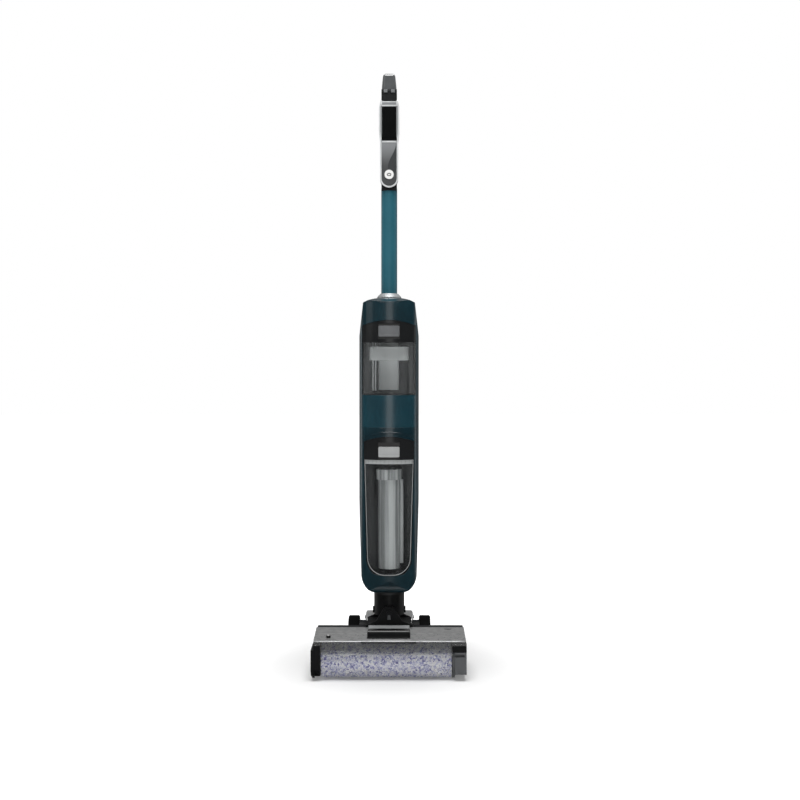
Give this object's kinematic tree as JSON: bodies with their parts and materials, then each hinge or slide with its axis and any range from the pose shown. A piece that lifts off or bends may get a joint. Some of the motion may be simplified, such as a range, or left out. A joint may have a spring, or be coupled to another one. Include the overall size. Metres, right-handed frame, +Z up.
{
  "type": "wet dry floor scrubber",
  "caption": "Upright cordless wet dry floor scrubber with a side-loading pile roller, slide-out clean and dirty water tanks and a loop handle on a straight tube.",
  "frame": {"origin": "on the floor, under the middle of the machine's outline", "axes": "+Z up, -Y towards the front of the floor head, +X towards the removable end cap"},
  "size_m": [0.288, 0.21, 1.15],
  "materials": {
    "black_plastic": "matt, fine moulded grain",
    "dark_grey_plastic": "satin",
    "mid_grey_plastic": "satin",
    "teal_gloss": "deep gloss with fine metallic fleck",
    "teal_panel": "gloss",
    "teal_tube": "satin lacquer on aluminium",
    "silver_trim": "silver lacquer",
    "smoke_clear": "smoky clear moulding",
    "clear_tank": "clear moulding",
    "rubber_black": "matt",
    "tyre_black": "matt with fine grooves",
    "pile": "white and lavender tufted pile",
    "steel": "turned",
    "brass": "turned",
    "contact_metal": "plated",
    "motor_metal": "cast",
    "battery_wrap": "matt wrap",
    "white_plastic": "gloss",
    "filter_media": "pleated",
    "light_grey_plastic": "satin"
  },
  "bodies": {
    "head": {"head_chassis": "black_plastic", "rear_deck": "dark_grey_plastic", "left_end_housing": "black_plastic", "brush_motor": "motor_metal", "scraper_blade": "rubber_black", "spray_bar": "dark_grey_plastic", "suction_duct": "dark_grey_plastic", "drive_belt": "rubber_black", "wheel_axles": "steel", "chassis_screws": "steel", "charging_contacts": "contact_metal"},
    "head_cover": {"cover_window": "smoke_clear", "cover_latch_base": "black_plastic"},
    "cover_latch": {"cover_latch_button": "silver_trim"},
    "roller_carrier": {"roller_end_cap": "mid_grey_plastic", "roller_stub_shaft": "steel"},
    "roller": {"roller_core": "dark_grey_plastic", "roller_pile": "pile"},
    "hub": {"drive_hub": "dark_grey_plastic"},
    "pulley": {"motor_pulley": "brass"},
    "left_wheel": {"left_wheel_rim": "dark_grey_plastic", "left_wheel_tyre": "tyre_black"},
    "right_wheel": {"right_wheel_rim": "dark_grey_plastic", "right_wheel_tyre": "tyre_black"},
    "yoke": {"neck_yoke": "black_plastic", "neck_shroud": "smoke_clear", "swivel_pins": "steel", "neck_hose": "rubber_black"},
    "machine": {"neck_tube": "black_plastic", "front_frame": "teal_gloss", "rear_shell": "teal_gloss", "mid_panel": "teal_panel", "top_cap": "teal_gloss", "tube_ring": "silver_trim", "inner_frame": "dark_grey_plastic", "suction_motor": "motor_metal", "battery_pack": "battery_wrap", "water_pump": "dark_grey_plastic", "exhaust_grille": "black_plastic", "handle_tube": "teal_tube", "grip_left": "black_plastic", "grip_right": "black_plastic", "side_trim": "silver_trim", "front_fascia": "dark_grey_plastic", "grip_cap": "light_grey_plastic", "body_screws": "steel"},
    "fan": {"fan_impeller": "motor_metal"},
    "dirty_tank": {"dirty_tank_shell": "clear_tank", "riser_tube": "clear_tank", "dirty_lid": "black_plastic", "dirty_seal": "light_grey_plastic", "dirty_filter": "filter_media"},
    "dirty_tank_latch": {"dirty_latch": "light_grey_plastic"},
    "clean_tank": {"clean_tank_shell": "smoke_clear", "clean_cap": "black_plastic", "pickup_column": "light_grey_plastic"},
    "clean_tank_latch": {"clean_latch": "mid_grey_plastic"},
    "round_button": {"clean_button": "white_plastic"},
    "left_button": {"power_button": "mid_grey_plastic"},
    "right_button": {"mode_button": "mid_grey_plastic"}
  },
  "joints": [
    {"name": "neck_pitch", "type": "hinge", "parent": "head", "child": "yoke", "pos_m": [0, 0.025, 0.072], "axis": [-1, 0, 0], "range_deg": [0, 65]},
    {"name": "neck_swivel", "type": "hinge", "parent": "yoke", "child": "machine", "pos_m": [0, 0.02, 0.108], "axis": [0, 1, 0], "range_deg": [-25, 25]},
    {"name": "left_wheel_spin", "type": "hinge", "parent": "head", "child": "left_wheel", "pos_m": [-0.0698, 0.061, 0.044], "axis": [1, 0, 0], "continuous": true},
    {"name": "right_wheel_spin", "type": "hinge", "parent": "head", "child": "right_wheel", "pos_m": [0.0698, 0.061, 0.044], "axis": [1, 0, 0], "continuous": true},
    {"name": "roller_slide", "type": "slide", "parent": "head", "child": "roller_carrier", "axis": [1, 0, 0], "range_m": [0, 0.25]},
    {"name": "roller_spin", "type": "hinge", "parent": "roller_carrier", "child": "roller", "pos_m": [0, -0.068, 0.033], "axis": [1, 0, 0], "continuous": true},
    {"name": "hub_spin", "type": "hinge", "parent": "head", "child": "hub", "pos_m": [-0.13, -0.068, 0.033], "axis": [1, 0, 0], "continuous": true},
    {"name": "pulley_spin", "type": "hinge", "parent": "head", "child": "pulley", "pos_m": [-0.1355, -0.013, 0.042], "axis": [1, 0, 0], "continuous": true},
    {"name": "cover_lift", "type": "slide", "parent": "head", "child": "head_cover", "axis": [0, 0, 1], "range_m": [0, 0.05]},
    {"name": "cover_latch_press", "type": "slide", "parent": "head_cover", "child": "cover_latch", "axis": [0, 0, -1], "range_m": [0, 0.003], "stiffness_N_per_m": 700, "springref_m": -0.002},
    {"name": "dirty_tank_slide", "type": "slide", "parent": "machine", "child": "dirty_tank", "axis": [0, -1, 0], "range_m": [0, 0.1]},
    {"name": "dirty_latch_press", "type": "slide", "parent": "dirty_tank", "child": "dirty_tank_latch", "axis": [0, 0, -1], "range_m": [0, 0.0025], "stiffness_N_per_m": 700, "springref_m": -0.002},
    {"name": "clean_tank_slide", "type": "slide", "parent": "machine", "child": "clean_tank", "axis": [0, -1, 0], "range_m": [0, 0.1]},
    {"name": "clean_latch_press", "type": "slide", "parent": "clean_tank", "child": "clean_tank_latch", "axis": [0, 0, -1], "range_m": [0, 0.0025], "stiffness_N_per_m": 700, "springref_m": -0.002},
    {"name": "fan_spin", "type": "hinge", "parent": "machine", "child": "fan", "pos_m": [0, 0.018, 0.48], "axis": [0, 0, 1], "continuous": true},
    {"name": "round_button_press", "type": "slide", "parent": "machine", "child": "round_button", "axis": [0, 1, 0], "range_m": [0, 0.0012], "stiffness_N_per_m": 400, "springref_m": -0.001},
    {"name": "left_button_press", "type": "slide", "parent": "machine", "child": "left_button", "axis": [0, 1, 0], "range_m": [0, 0.0015], "stiffness_N_per_m": 300, "springref_m": -0.001},
    {"name": "right_button_press", "type": "slide", "parent": "machine", "child": "right_button", "axis": [0, 1, 0], "range_m": [0, 0.0015], "stiffness_N_per_m": 300, "springref_m": -0.001}
  ],
  "couplings": [
    {"joint": "hub_spin", "follows": "roller_spin", "ratio": 1},
    {"joint": "pulley_spin", "follows": "roller_spin", "ratio": 2.1667}
  ]
}
